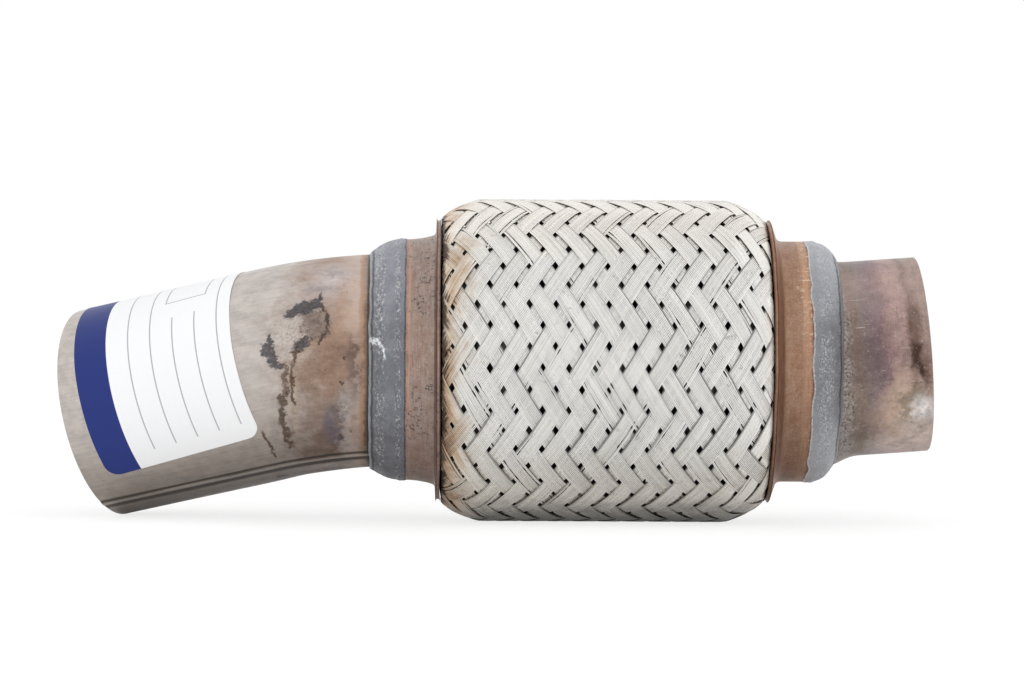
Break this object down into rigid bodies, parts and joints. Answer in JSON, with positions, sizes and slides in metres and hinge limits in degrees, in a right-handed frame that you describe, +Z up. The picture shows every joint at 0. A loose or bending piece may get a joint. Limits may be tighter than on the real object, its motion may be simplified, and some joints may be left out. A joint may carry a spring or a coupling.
{
  "type": "exhaust flex pipe",
  "caption": "Exhaust flex pipe: a braided flexible section with flared collars and weld beads between a bent inlet tube and a short outlet stub.",
  "frame": {"origin": "middle of the part's footprint box, on the surface it lies on", "axes": "+X along the flexible section from inlet to outlet, +Z up as the pipe lies at rest, so +Y is the side that the inlet tube bends towards"},
  "size_m": [0.2464, 0.0966, 0.0911],
  "materials": {
    "inlet_tube": "brushed tube with straw heat tint beside the weld",
    "inlet_weld": "matt blue-grey weld bead",
    "inlet_collar": "brown heat-tinted sheet",
    "outer_braid": "bright drawn wire",
    "bellows": "bright formed sheet",
    "inner_liner": "satin strip",
    "outlet_collar": "brown heat-tinted sheet",
    "outlet_weld": "matt grey weld bead",
    "outlet_tube": "mauve-brown heat-tinted tube",
    "label": "white film with a blue band"
  },
  "bodies": {
    "inlet_side": {"inlet_tube": "inlet_tube", "inlet_weld": "inlet_weld", "inlet_collar": "inlet_collar", "label": "label", "outer_braid": "outer_braid", "bellows": "bellows", "inner_liner": "inner_liner"},
    "outlet_side": {"outlet_collar": "outlet_collar", "outlet_weld": "outlet_weld", "outlet_tube": "outlet_tube"}
  },
  "joints": [
    {"name": "flex_bend", "type": "hinge", "parent": "inlet_side", "child": "outlet_side", "pos_m": [0.03075, -0.00272, 0.04556], "axis": [0, 1, 0], "range_deg": [-8, 8], "stiffness_Nm_per_rad": 30, "deforming": ["outer_braid", "bellows", "inner_liner"]}
  ]
}
